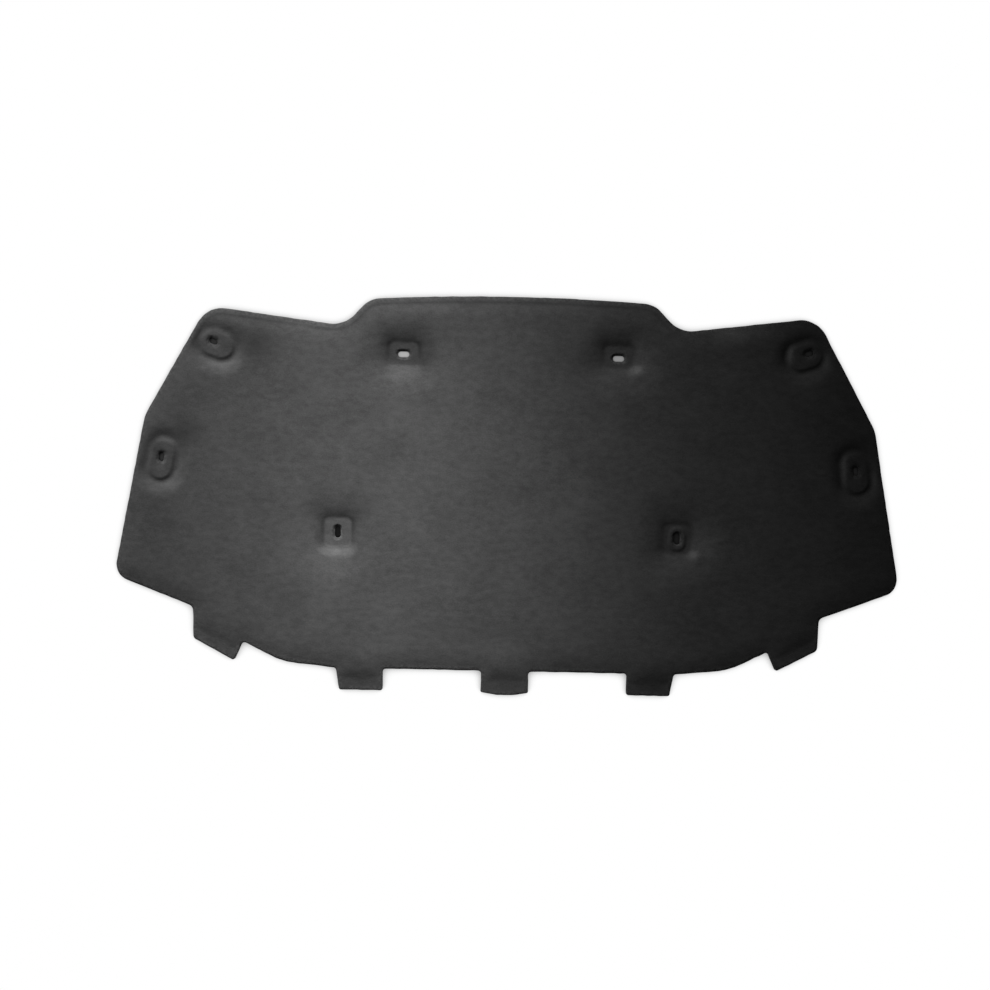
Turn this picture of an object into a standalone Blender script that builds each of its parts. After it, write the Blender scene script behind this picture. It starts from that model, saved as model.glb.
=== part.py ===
# Hood insulation pad: one blanket of black felt, hot pressed to shape, that clips under a car's hood.
# It lies on its flat back with the face toward the engine up. The edge with the raised middle is
# at +Y, the five tabs are at -Y, and the left half mirrors the right.
# Sizes are in millimetres and are turned to metres where a mesh is made.

import math
from functools import partial

import bmesh
import bpy

MM = 1 / 1000
OBJECT_NAME = "hood_insulation_pad"
PART_NAME = "insulation_pad"

# Section: a narrow pressed rim, a soft shoulder, then the full loft of the felt
RIM_THICKNESS = 8.5
RIM_WIDTH = 4.0
LOFT_THICKNESS = 14.0
SHOULDER_WIDTH = 30.0
SHOULDER_STEPS = 7

# Right half of the blanket. Heights run up from its straight lower edge, half widths from the middle.
HALF_WIDTH = 605.0
DEPTH = 570.0
CROWN_RISE = 13.3
RAISED_HALF_WIDTH = 219.0
RAISED_SLANT_RUN = 40.0
NECK_DROP = 42.6
EAR_DROP = 16.2
EAR_LEAN = 134.7
WAIST_LEAN = 42.0
WAIST_HEIGHT = 382.7
HEEL_HEIGHT = 136.2
SWEEP_HALF_WIDTH = 343.7
SWEEP_HEIGHT = 7.9

CROWN_RADIUS = 3300.0
RAISED_RADIUS = 36.0
NECK_RADIUS = 45.0
EAR_RADIUS = 43.0
WAIST_RADIUS = 60.0
HEEL_RADIUS = 26.0
NOTCH_RADIUS = 10.0
SWEEP_RADIUS = 110.0
LEAST_INNER_RADIUS = 8.0

# Wing tabs: their root runs from the notch in the slanted edge to the apex beside the curved edge
WING_NOTCH_HALF_WIDTH = 482.5
WING_NOTCH_HEIGHT = 90.0
WING_APEX_HALF_WIDTH = 404.5
WING_APEX_HEIGHT = 37.9
WING_OUTER_DROP = 48.6
WING_OUTER_LEAN = 1.5
WING_TIP_RUN = 13.0
WING_TIP_DROP = 30.0
WING_OUTER_RADIUS = 9.0
WING_TIP_RADIUS = 3.5

# Straight tabs along the lower edge
CENTRE_TAB_WIDTH = 73.0
CENTRE_TAB_LENGTH = 33.0
CENTRE_TAB_BOW = 7.5
CENTRE_TAB_END_RADIUS = 160.0
OUTER_TAB_INNER_SIDE = 188.0
OUTER_TAB_WIDTH = 72.5
OUTER_TAB_LENGTH = 33.5
OUTER_TAB_TAPER = 6.0
TAB_CORNER_RADIUS = 3.0
TAB_ROOT_RADIUS = 5.0

# The loft's foot runs out onto each tab before it flattens, and starts well inside the blanket
FOOT_REACH = 12.0
FOOT_SIDE_RUN = 11.0
FOOT_DEPTH = 44.0
FOOT_RADIUS = 12.0
FOOT_SINK = 0.4

# Square pockets, where a clip's head sits below the face. Lengths run along X and widths along Y.
UPPER_FLOOR_LENGTH = 45.0
UPPER_FLOOR_WIDTH = 35.0
UPPER_SLOT_SHIFT = -2.3
LOWER_FLOOR_LENGTH = 42.0
LOWER_FLOOR_WIDTH = 46.0
POCKET_FLOOR_THICKNESS = 4.5
POCKET_CORNER_RADIUS = 6.0
POCKET_WALL_RUN = 8.0
POCKET_WALL_RISE = 4.5
POCKET_FLARE = 36.0
COLLAR_LENGTH = 26.0
COLLAR_WIDTH = 19.0
COLLAR_DEPTH = 1.2
SLOT_LENGTH = 17.5
SLOT_WIDTH = 9.0
UPPER_POCKET_HALF_SPACING = 166.0
UPPER_POCKET_DROP = 82.2
LOWER_POCKET_HALF_SPACING = 262.0
LOWER_POCKET_HEIGHT = 209.0

# Oval seats near the outer edge: a pressed hollow with a raised boss and a small slot in it
SEAT_FLOOR_THICKNESS = 4.5
SEAT_MOAT_WIDTH = 4.0
SEAT_FLARE = 19.0
BOSS_TOP = 9.0
BOSS_WALL_RUN = 3.0
BOSS_EDGE = 0.8
BOSS_DISH_DEPTH = 1.6
BOSS_DISH_MARGIN = 4.0
SEAT_SLOT_LENGTH = 13.0
SEAT_SLOT_WIDTH = 7.5
CORNER_BOSS_LENGTH = 50.0
CORNER_BOSS_WIDTH = 36.0
CORNER_SEAT_INSET = 16.1
CORNER_SEAT_DROP = 59.5
CORNER_SEAT_TURN_DEGREES = 20.0
CORNER_SLOT_OUT = 5.6
CORNER_SLOT_UP = 4.5
SIDE_BOSS_LENGTH = 59.0
SIDE_BOSS_WIDTH = 34.0
SIDE_SEAT_INSET = 27.5
SIDE_SEAT_DROP = 67.0
SIDE_SEAT_TURN_DEGREES = 100.0
SIDE_SLOT_OUT = 0.5
SIDE_SLOT_UP = 3.0

# Fineness: how far a chord may leave its arc, and points and steps in the pressed hollows
CHORD_ERROR = 0.1
CORNER_POINTS = 6
FLARE_STEPS = 6
OVERSHOOT = 0.7
FLARE_OVERSHOOT = 0.15


def mirrored(right_half):
    """Close a right half, listed clockwise from the axis to the axis, with its mirror image."""
    left_half = [(-x, y, radius) for x, y, radius in reversed(right_half[1:-1])]
    return right_half + left_half


def edge_corners():
    """Corners of the right half's free edge, from the axis down to the heel, as x, y and radius."""
    return [
        (0.0, DEPTH + CROWN_RISE, CROWN_RADIUS),
        (RAISED_HALF_WIDTH, DEPTH, RAISED_RADIUS),
        (RAISED_HALF_WIDTH + RAISED_SLANT_RUN, DEPTH - NECK_DROP, NECK_RADIUS),
        (HALF_WIDTH - EAR_LEAN, DEPTH - EAR_DROP, EAR_RADIUS),
        (HALF_WIDTH - WAIST_LEAN, WAIST_HEIGHT, WAIST_RADIUS),
        (HALF_WIDTH, HEEL_HEIGHT, HEEL_RADIUS),
    ]


def wing_corners():
    """Corners of the right wing tab, from its notch round to its apex."""
    return [
        (WING_NOTCH_HALF_WIDTH, WING_NOTCH_HEIGHT, NOTCH_RADIUS),
        (WING_NOTCH_HALF_WIDTH - WING_OUTER_LEAN, WING_NOTCH_HEIGHT - WING_OUTER_DROP, WING_OUTER_RADIUS),
        (WING_APEX_HALF_WIDTH + WING_TIP_RUN, WING_APEX_HEIGHT - WING_TIP_DROP, WING_TIP_RADIUS),
        (WING_APEX_HALF_WIDTH, WING_APEX_HEIGHT, TAB_ROOT_RADIUS),
    ]


def outer_tab_corners():
    """Corners of the right outer tab, from its outer root round to its inner root."""
    outer_side = OUTER_TAB_INNER_SIDE + OUTER_TAB_WIDTH
    return [
        (outer_side, 0.0, TAB_ROOT_RADIUS),
        (outer_side - OUTER_TAB_TAPER, -OUTER_TAB_LENGTH, TAB_CORNER_RADIUS),
        (OUTER_TAB_INNER_SIDE, -OUTER_TAB_LENGTH, TAB_CORNER_RADIUS),
        (OUTER_TAB_INNER_SIDE, 0.0, TAB_ROOT_RADIUS),
    ]


def centre_tab_corners():
    """Corners of the centre tab without the bow of its end, clockwise from its right root."""
    side = CENTRE_TAB_WIDTH / 2
    return [
        (side, 0.0, TAB_ROOT_RADIUS),
        (side, -CENTRE_TAB_LENGTH, TAB_CORNER_RADIUS),
        (-side, -CENTRE_TAB_LENGTH, TAB_CORNER_RADIUS),
        (-side, 0.0, TAB_ROOT_RADIUS),
    ]


def blanket_corners():
    """Corners of the blanket without its tabs."""
    base_width = OUTER_TAB_INNER_SIDE + OUTER_TAB_WIDTH
    return mirrored([
        *edge_corners(),
        (WING_NOTCH_HALF_WIDTH, WING_NOTCH_HEIGHT, WAIST_RADIUS),
        (WING_APEX_HALF_WIDTH, WING_APEX_HEIGHT, WAIST_RADIUS),
        (SWEEP_HALF_WIDTH, SWEEP_HEIGHT, SWEEP_RADIUS),
        (base_width, 0.0, SWEEP_RADIUS),
        (0.0, 0.0, 0.0),
    ])


def rim_corners():
    """Corners of the pressed sheet: the blanket's own edge with the five tabs."""
    return mirrored([
        *edge_corners(),
        *wing_corners(),
        (SWEEP_HALF_WIDTH, SWEEP_HEIGHT, SWEEP_RADIUS),
        *outer_tab_corners(),
        *centre_tab_corners()[:2],
        (0.0, -CENTRE_TAB_LENGTH - CENTRE_TAB_BOW, CENTRE_TAB_END_RADIUS),
    ])


def foot_outline(tab, share):
    """Outline of the loft's foot on a tab, at a share of the way up its slope. It follows the tab's
    two sides from inside the blanket out to its end. The tab is listed root, tip, tip, root."""
    roots, tips = (tab[0][:2], tab[3][:2]), (tab[1][:2], tab[2][:2])
    root_length = math.dist(*roots)
    across = ((roots[1][0] - roots[0][0]) / root_length, (roots[1][1] - roots[0][1]) / root_length)
    outward = (-across[1], across[0])
    inset = RIM_WIDTH + FOOT_SIDE_RUN * share

    def on_side(side, distance):
        run = (tips[side][0] - roots[side][0], tips[side][1] - roots[side][1])
        part = distance / (run[0] * outward[0] + run[1] * outward[1])
        shift = inset if side == 0 else -inset
        return tuple(roots[side][axis] + run[axis] * part + across[axis] * shift for axis in (0, 1))

    outer = FOOT_REACH - SHOULDER_WIDTH * share
    return rounded_outline([
        (*on_side(0, -FOOT_DEPTH), 0.0),
        (*on_side(0, outer), FOOT_RADIUS),
        (*on_side(1, outer), FOOT_RADIUS),
        (*on_side(1, -FOOT_DEPTH), 0.0),
    ])


def edge_directions(points):
    """Unit direction of each edge of a closed polygon, starting at each point."""
    directions = []
    for index, (x, y) in enumerate(points):
        next_x, next_y = points[(index + 1) % len(points)]
        length = math.hypot(next_x - x, next_y - y)
        directions.append(((next_x - x) / length, (next_y - y) / length))
    return directions


def corner_turn(before, after):
    """Turn between two unit directions, negative at an outward corner of a clockwise outline."""
    sideways = before[0] * after[1] - before[1] * after[0]
    return math.atan2(sideways, before[0] * after[0] + before[1] * after[1])


def rounded_outline(corners, inset=0.0):
    """Points of a clockwise outline moved inward, with each corner an arc.

    The number of points on an arc comes from its radius before the inset, so all insets of one
    outline have as many points and can be lofted to each other.
    """
    plain = [(x, y) for x, y, _ in corners]
    directions = edge_directions(plain)
    moved, radii, turns = [], [], []
    for index, (x, y, radius) in enumerate(corners):
        before, after = directions[index - 1], directions[index]
        turn = corner_turn(before, after)
        inward = (before[1] + after[1], -before[0] - after[0])
        reach = inset / (1.0 + before[0] * after[0] + before[1] * after[1])
        moved.append((x + inward[0] * reach, y + inward[1] * reach))
        if turn > 0.0:
            radii.append(radius + inset)
        else:
            radii.append(max(radius - inset, min(radius, LEAST_INNER_RADIUS)))
        turns.append(turn)

    # A fillet is limited by the edges beside it
    tangents = [radius * math.tan(abs(turn) / 2) for radius, turn in zip(radii, turns)]
    shares = [1.0] * len(moved)
    for index in range(len(moved)):
        following = (index + 1) % len(moved)
        edge = math.dist(moved[index], moved[following])
        needed = tangents[index] + tangents[following]
        if needed > edge:
            shares[index] = min(shares[index], edge / needed)
            shares[following] = min(shares[following], edge / needed)

    points = []
    for index, (x, y) in enumerate(moved):
        turn = turns[index]
        radius = radii[index] * shares[index] * 0.999
        design_radius = corners[index][2]
        if design_radius <= CHORD_ERROR or abs(turn) < 0.001:
            points.append((x, y))
            continue
        before = directions[index - 1]
        tangent = radius * math.tan(abs(turn) / 2)
        side = math.copysign(1.0, turn)
        centre_x = x - before[0] * tangent - side * before[1] * radius
        centre_y = y - before[1] * tangent + side * before[0] * radius
        start = math.atan2(-side * before[0], side * before[1])
        chord_turn = 2 * math.acos(1.0 - CHORD_ERROR / design_radius)
        steps = max(2, math.ceil(abs(turn) / chord_turn))
        for step in range(steps + 1):
            angle = start + turn * step / steps
            points.append((centre_x + radius * math.cos(angle), centre_y + radius * math.sin(angle)))
    return points


def oval(length, width, corner_radius):
    """Points of a rectangle with round corners, clockwise; a radius of half the width makes a slot."""
    radius = min(corner_radius, length / 2, width / 2)
    points = []
    for quarter, (side_x, side_y) in enumerate(((1, 1), (1, -1), (-1, -1), (-1, 1))):
        centre_x = side_x * (length / 2 - radius)
        centre_y = side_y * (width / 2 - radius)
        for step in range(CORNER_POINTS):
            angle = math.radians(90 - 90 * (quarter + (step + 0.5) / CORNER_POINTS))
            points.append((centre_x + radius * math.cos(angle), centre_y + radius * math.sin(angle)))
    return points


def loft(name, rings, collection):
    """Closed solid through clockwise rings with as many points each, listed from the top down."""
    mesh = bpy.data.meshes.new(name)
    bm = bmesh.new()
    loops = [[bm.verts.new((x * MM, y * MM, z * MM)) for x, y in points] for points, z in rings]
    for upper, lower in zip(loops, loops[1:]):
        for index in range(len(upper)):
            following = (index + 1) % len(upper)
            bm.faces.new((upper[index], upper[following], lower[following], lower[index]))
    bm.faces.new(list(reversed(loops[0])))
    bm.faces.new(loops[-1])
    for face in bm.faces:
        face.smooth = True
    bm.to_mesh(mesh)
    bm.free()
    mesh.set_sharp_from_angle(angle=math.radians(35))
    solid = bpy.data.objects.new(name, mesh)
    collection.objects.link(solid)
    return solid


def plate(name, points, thickness, collection):
    """Flat sheet on the ground plane, from a closed outline."""
    outline = bpy.data.curves.new(name + "_outline", "CURVE")
    outline.dimensions = "2D"
    outline.fill_mode = "BOTH"
    outline.extrude = thickness / 2 * MM
    spline = outline.splines.new("POLY")
    spline.points.add(len(points) - 1)
    for point, (x, y) in zip(spline.points, points):
        point.co = (x * MM, y * MM, 0.0, 1.0)
    spline.use_cyclic_u = True
    drawn = bpy.data.objects.new(name + "_outline", outline)
    drawn.location.z = thickness / 2 * MM
    collection.objects.link(drawn)
    bpy.context.view_layer.update()

    mesh = bpy.data.meshes.new_from_object(drawn.evaluated_get(bpy.context.evaluated_depsgraph_get()))
    bm = bmesh.new()
    bm.from_mesh(mesh)
    bmesh.ops.remove_doubles(bm, verts=bm.verts, dist=0.00001)
    bmesh.ops.recalc_face_normals(bm, faces=bm.faces)
    bm.to_mesh(mesh)
    bm.free()
    sheet = bpy.data.objects.new(name, mesh)
    sheet.matrix_world = drawn.matrix_world
    collection.objects.link(sheet)
    bpy.data.objects.remove(drawn)
    return sheet


def combine(body, tool, operation):
    """Join a tool to the body or cut it out, as a live modifier."""
    modifier = body.modifiers.new(tool.name, "BOOLEAN")
    modifier.operation = operation
    modifier.object = tool
    modifier.solver = "EXACT"


def placed(points, centre, turn):
    """Points turned by degrees about the origin and moved to a centre."""
    cosine, sine = math.cos(math.radians(turn)), math.sin(math.radians(turn))
    return [(centre[0] + x * cosine - y * sine, centre[1] + x * sine + y * cosine) for x, y in points]


def shoulder_rings(outline_at, top, middle):
    """Rings of a felt shoulder that rises from the rim like the edge of a pillow, from the top down.

    outline_at gives the outline at a share of the way up the slope.
    """
    rings = []
    for step in range(SHOULDER_STEPS, -1, -1):
        share = step / SHOULDER_STEPS
        rise = 1.0 - (1.0 - share) ** 3
        height = RIM_THICKNESS + (top - RIM_THICKNESS) * rise
        if step == 0:
            height = RIM_THICKNESS / 2
        rings.append(([(x, y - middle) for x, y in outline_at(share)], height))
    return rings


def hollow_rings(length, width, corner_radius, low, flare):
    """Rings of a pressed hollow's soft rim, from just above the face down to its lower edge.

    The slope is steepest at the lower edge and eases off to nothing at the face.
    """
    rings = []
    rise = LOFT_THICKNESS + FLARE_OVERSHOOT - low
    for step in range(FLARE_STEPS, 0, -1):
        share = step / FLARE_STEPS
        spread = 2 * flare * share
        points = oval(length + spread, width + spread, corner_radius + flare * share)
        rings.append((points, low + rise * share * (2.0 - share)))
    rings.append((oval(length, width, corner_radius), low))
    return rings


def pocket_punch(name, centre, length, width, slot_centre, slot_turn, collection):
    """Tool for a square pocket: soft rim, steep wall, flat floor, shallow collar and clip slot."""
    floor = POCKET_FLOOR_THICKNESS
    lip = COLLAR_DEPTH
    wall = 2 * POCKET_WALL_RUN
    wall_radius = POCKET_CORNER_RADIUS + POCKET_WALL_RUN
    rings = hollow_rings(length + wall, width + wall, wall_radius, floor + POCKET_WALL_RISE, POCKET_FLARE)
    rings.append((oval(length, width, POCKET_CORNER_RADIUS), floor))
    rings = [(placed(points, centre, 0.0), height) for points, height in rings]
    lips = [
        (oval(COLLAR_LENGTH, COLLAR_WIDTH, COLLAR_WIDTH / 2), floor),
        (oval(SLOT_LENGTH + lip, SLOT_WIDTH + lip, COLLAR_WIDTH / 2), floor - lip),
        (oval(SLOT_LENGTH, SLOT_WIDTH, SLOT_WIDTH / 2), floor - 1.5 * lip),
        (oval(SLOT_LENGTH, SLOT_WIDTH, SLOT_WIDTH / 2), -OVERSHOOT),
    ]
    quarter_turns = round(slot_turn / 90)
    for points, height in lips:
        turned = placed(points, slot_centre, slot_turn)
        shift = quarter_turns * CORNER_POINTS
        rings.append((turned[shift:] + turned[:shift], height))
    return loft(name, rings, collection)


def seat_tools(name, centre, slot_centre, turn, boss_length, boss_width, collection):
    """Tools for an oval seat: the hollow to cut, the boss to add, and the slot to cut."""
    moat = 2 * (BOSS_WALL_RUN + SEAT_MOAT_WIDTH)
    floor = SEAT_FLOOR_THICKNESS
    rings = hollow_rings(boss_length + moat, boss_width + moat, (boss_width + moat) / 2, floor, SEAT_FLARE)
    hollow = loft(name + "_hollow", [(placed(p, centre, turn), z) for p, z in rings], collection)

    foot = 2 * BOSS_WALL_RUN
    rings = [
        (oval(boss_length - foot, boss_width - foot, boss_width / 2), BOSS_TOP),
        (oval(boss_length - BOSS_EDGE, boss_width - BOSS_EDGE, boss_width / 2), BOSS_TOP - BOSS_EDGE),
        (oval(boss_length + foot, boss_width + foot, boss_width), floor / 2),
    ]
    boss = loft(name + "_boss", [(placed(p, centre, turn), z) for p, z in rings], collection)

    dish = 2 * BOSS_DISH_MARGIN
    rings = [
        (oval(SEAT_SLOT_LENGTH + 2 * dish, SEAT_SLOT_WIDTH + 2 * dish, boss_width), BOSS_TOP + OVERSHOOT),
        (oval(SEAT_SLOT_LENGTH + dish, SEAT_SLOT_WIDTH + dish, boss_width), BOSS_TOP - BOSS_DISH_DEPTH / 2),
        (oval(SEAT_SLOT_LENGTH, SEAT_SLOT_WIDTH, boss_width), BOSS_TOP - BOSS_DISH_DEPTH),
        (oval(SEAT_SLOT_LENGTH, SEAT_SLOT_WIDTH, boss_width), -OVERSHOOT),
    ]
    slot = loft(name + "_slot", [(placed(p, slot_centre, turn), z) for p, z in rings], collection)
    return hollow, boss, slot


def felt_material():
    """Black felt with a dull, dry face."""
    material = bpy.data.materials.new("pressed_black_felt")
    material.use_nodes = True
    shader = material.node_tree.nodes["Principled BSDF"]
    shader.inputs["Base Color"].default_value = (0.045, 0.045, 0.045, 1.0)
    shader.inputs["Roughness"].default_value = 0.95
    shader.inputs["Metallic"].default_value = 0.0
    return material


def build():
    for old in list(bpy.data.objects):
        bpy.data.objects.remove(old)
    parts = bpy.data.collections.new(OBJECT_NAME)
    tools = bpy.data.collections.new("cutters")
    bpy.context.scene.collection.children.link(parts)
    bpy.context.scene.collection.children.link(tools)

    rim_outline = rounded_outline(rim_corners())
    middle = (max(y for _, y in rim_outline) + min(y for _, y in rim_outline)) / 2
    outline = [(x, y - middle) for x, y in rim_outline]
    pad = plate(PART_NAME, outline, RIM_THICKNESS, parts)

    def blanket_outline(share):
        return rounded_outline(blanket_corners(), RIM_WIDTH + SHOULDER_WIDTH * share)

    # The blanket, then its foot on each tab
    rings = shoulder_rings(blanket_outline, LOFT_THICKNESS, middle)
    combine(pad, loft("blanket", rings, tools), "UNION")
    tabs = {"centre_tab_foot": centre_tab_corners()}
    for name, corners in (("wing_tab_foot", wing_corners()), ("outer_tab_foot", outer_tab_corners())):
        tabs["right_" + name] = corners
        tabs["left_" + name] = [(-x, y, radius) for x, y, radius in reversed(corners)]
    for name, tab in tabs.items():
        rings = shoulder_rings(partial(foot_outline, tab), LOFT_THICKNESS - FOOT_SINK, middle)
        combine(pad, loft(name, rings, tools), "UNION")

    for side, mirror in (("right", 1.0), ("left", -1.0)):
        upper = (mirror * UPPER_POCKET_HALF_SPACING, DEPTH - UPPER_POCKET_DROP - middle)
        upper_slot = (upper[0], upper[1] + UPPER_SLOT_SHIFT)
        lower = (mirror * LOWER_POCKET_HALF_SPACING, LOWER_POCKET_HEIGHT - middle)
        punches = (
            (f"upper_{side}_pocket", upper, UPPER_FLOOR_LENGTH, UPPER_FLOOR_WIDTH, upper_slot, 0.0),
            (f"lower_{side}_pocket", lower, LOWER_FLOOR_LENGTH, LOWER_FLOOR_WIDTH, lower, 90.0),
        )
        for punch in punches:
            combine(pad, pocket_punch(*punch, tools), "DIFFERENCE")

        corner_seat = (
            mirror * (HALF_WIDTH - EAR_LEAN - CORNER_SEAT_INSET),
            DEPTH - EAR_DROP - CORNER_SEAT_DROP - middle,
        )
        side_seat = (
            mirror * (HALF_WIDTH - WAIST_LEAN - SIDE_SEAT_INSET),
            WAIST_HEIGHT - SIDE_SEAT_DROP - middle,
        )
        corner_turn_degrees = mirror * CORNER_SEAT_TURN_DEGREES
        side_turn_degrees = mirror * SIDE_SEAT_TURN_DEGREES
        corner_slot = (corner_seat[0] + mirror * CORNER_SLOT_OUT, corner_seat[1] + CORNER_SLOT_UP)
        side_slot = (side_seat[0] + mirror * SIDE_SLOT_OUT, side_seat[1] + SIDE_SLOT_UP)
        corner_size = (CORNER_BOSS_LENGTH, CORNER_BOSS_WIDTH)
        side_size = (SIDE_BOSS_LENGTH, SIDE_BOSS_WIDTH)
        seats = (
            (f"corner_{side}_seat", corner_seat, corner_slot, corner_turn_degrees, *corner_size),
            (f"side_{side}_seat", side_seat, side_slot, side_turn_degrees, *side_size),
        )
        for seat in seats:
            hollow, boss, slot = seat_tools(*seat, tools)
            combine(pad, hollow, "DIFFERENCE")
            combine(pad, boss, "UNION")
            combine(pad, slot, "DIFFERENCE")

    for tool in tools.objects:
        tool.hide_render = True
        tool.display_type = "WIRE"
    pad.data.materials.append(felt_material())


build()
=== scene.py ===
# Hood insulation pad: one blanket of black needled felt, hot pressed, lying on its flat back.
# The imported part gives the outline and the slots. This script presses the felt between them,
# gives it its fibres, and lights it. Lengths are in millimetres until they reach a mesh.

import math
import bpy
import numpy as np
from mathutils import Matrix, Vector
from mathutils.geometry import delaunay_2d_cdt


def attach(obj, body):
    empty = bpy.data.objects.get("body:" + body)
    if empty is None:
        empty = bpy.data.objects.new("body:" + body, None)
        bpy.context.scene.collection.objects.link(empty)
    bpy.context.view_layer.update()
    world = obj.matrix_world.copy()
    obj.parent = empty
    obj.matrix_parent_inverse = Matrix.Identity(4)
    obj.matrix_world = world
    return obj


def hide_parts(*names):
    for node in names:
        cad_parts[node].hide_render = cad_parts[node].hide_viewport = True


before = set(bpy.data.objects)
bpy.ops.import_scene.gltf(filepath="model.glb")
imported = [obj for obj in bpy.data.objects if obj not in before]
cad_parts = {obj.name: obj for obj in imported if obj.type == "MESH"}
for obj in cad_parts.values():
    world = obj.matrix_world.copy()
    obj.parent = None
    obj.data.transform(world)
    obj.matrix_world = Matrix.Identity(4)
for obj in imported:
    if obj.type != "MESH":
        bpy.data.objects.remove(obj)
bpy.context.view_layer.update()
mm = 0.001
print("frame loaded")

# Camera, set first: straight above, with the pad a little turned in the frame

cameraView = {
    "lens": 85.0,                # mm
    "sensor": 36.0,              # mm, its width
    "height": 3614.0,            # mm above the floor
    "overPoint": (-20.5, 1.1),   # mm, what the lens looks down on
    "roll": 1.205,               # degrees
    "reach": 50.0,               # m, how far it sees
}

cameraData = bpy.data.cameras.new("camera")
cameraData.lens = cameraView["lens"]
cameraData.sensor_width = cameraView["sensor"]
cameraData.clip_end = cameraView["reach"]
camera = bpy.data.objects.new("camera", cameraData)
camera.location = (*(v * mm for v in cameraView["overPoint"]), cameraView["height"] * mm)
camera.rotation_euler = (0.0, 0.0, math.radians(cameraView["roll"]))
bpy.context.scene.collection.objects.link(camera)
bpy.context.scene.camera = camera


# Shapes in plan. Points are whole arrays of x and y, and a segment is a row of ax, ay, bx, by.

meshPlan = {
    # Where the mesh has its points. A ring's number is its distance from the line it follows, outward
    # from a hollow and inward from the cut edge
    "backLimit": 0.05,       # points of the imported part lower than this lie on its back
    "netStep": 4.6,          # over the open face
    "netHalf": (604.0, 312.0),   # half the length and width that its net covers
    "backStep": 24.0,        # over the flat back
    "backHalf": (600.0, 305.0),
    "backMargin": 9.0,       # from the back's edge to that net
    "edgeStep": 2.4,         # along the cut edge
    "edgeRingStep": 3.0,     # along the rings inside it
    "edgeRings": [1.2, 3.0, 4.8, 6.1, 7.3, 8.7, 10.6, 13.2, 16.5, 20.5, 25.0, 29.5, 34.0],
    "edgeStrip": 36.0,       # the open net starts this far in
    "thinning": 1.5,         # points nearer than this to each other are thinned
    "hollowStep": 2.2,       # along the rings round a hollow
    "pocketRings": [-7.0, -4.5, -2.5, -1.0, 0.5, 2.0, 3.6, 5.4, 7.4, 9.6, 12.0, 14.4, 17.0, 20.5, 24.5,
                    29.0, 34.0, 39.5, 45.5],
    "seatRings": [-9.0, -6.0, -4.2, -3.0, -1.8, -0.6, 0.4, 1.6, 3.0, 5.0, 7.0, 8.4, 10.0, 12.5, 15.5,
                  19.0, 23.0, 27.0],
    "slotStep": 1.6,         # along the rings round a slot
    "pocketSlotRings": [0.7, 1.5, 2.4, 3.4, 4.6, 6.2],
    "seatSlotRings": [0.7, 1.6, 2.8, 4.2, 5.8],
    "ovalStep": 2.0,         # along the rings at the felt left standing in one pocket
    "ovalRings": [-4.5, -3.2, -2.0, -0.8, 0.6, 2.0],
    "hollowMargin": 2.0,     # from a hollow's last ring to the open net
    "edgeMargin": 1.0,       # from a hollow's last ring to the edge's rings, and from the edge to a hollow's
    "slotMargin": 0.5,       # from a slot's edge to any ring
}


def outlineSegments(node):
    # Every edge of the flat back that only one triangle uses lies on an edge of the felt
    points = np.empty(len(node.data.vertices) * 3)
    node.data.vertices.foreach_get("co", points)
    corners = np.empty(len(node.data.loops), int)
    node.data.loops.foreach_get("vertex_index", corners)
    spots, merged = np.unique(np.round(points.reshape(-1, 3) / mm, 2), axis=0, return_inverse=True)
    triangles = merged.ravel()[corners].reshape(-1, 3)
    back = triangles[(spots[triangles, 2] < meshPlan["backLimit"]).all(axis=1)]
    edges = np.sort(np.vstack((back[:, :2], back[:, 1:], back[:, ::2])), axis=1)
    edges, uses = np.unique(edges, axis=0, return_counts=True)
    return spots[edges[uses == 1]][..., :2].reshape(-1, 4)


def segmentDistance(x, y, segments):
    # Distance to the nearest segment: its nearest place is the point's projection held between its ends
    nearest = np.full(x.shape, np.inf)
    for ax, ay, bx, by in segments:
        share = ((x - ax) * (bx - ax) + (y - ay) * (by - ay)) / ((bx - ax) ** 2 + (by - ay) ** 2)
        share = np.clip(share, 0.0, 1.0)
        offX, offY = x - ax - share * (bx - ax), y - ay - share * (by - ay)
        nearest = np.minimum(nearest, np.hypot(offX, offY))
    return nearest


def isInside(x, y, segments):
    # A point is inside where a line from it toward +X crosses the outline an odd number of times
    crossings = np.zeros(x.shape, int)
    for ax, ay, bx, by in segments[segments[:, 1] != segments[:, 3]]:
        spans = (y < ay) != (y < by)
        crossings += spans & (x < ax + (y - ay) * (bx - ax) / (by - ay))
    return crossings % 2 == 1


def divided(segments, step):
    # Each segment cut into equal lengths that are no longer than the step
    start, run = segments[:, :2], segments[:, 2:] - segments[:, :2]
    counts = np.ceil(np.hypot(*run.T) / step).astype(int)
    which = np.repeat(np.arange(len(segments)), counts)
    order = np.arange(len(which)) - np.repeat(np.cumsum(counts) - counts, counts)
    near = start[which] + run[which] * (order / counts[which])[:, None]
    far = start[which] + run[which] * ((order + 1) / counts[which])[:, None]
    return np.hstack((near, far))


def turnedInto(x, y, place):
    # x and y seen from a place that has its own centre and turn
    cosine, sine = math.cos(math.radians(place["turn"])), math.sin(math.radians(place["turn"]))
    dx, dy = x - place["centre"][0], y - place["centre"][1]
    return dx * cosine + dy * sine, dy * cosine - dx * sine


def roundedDistance(x, y, place, length, width, radius):
    # Distance from the edge of a rectangle with round corners, less than nothing inside it
    u, v = turnedInto(x, y, place)
    outX, outY = np.abs(u) - length / 2 + radius, np.abs(v) - width / 2 + radius
    outside = np.hypot(np.maximum(outX, 0), np.maximum(outY, 0))
    return outside + np.minimum(np.maximum(outX, outY), 0) - radius


def ovalDistance(x, y, place, length, width):
    # The same from an oval, which is a rectangle whose ends are half circles
    return roundedDistance(x, y, place, length, width, width / 2)


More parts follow.
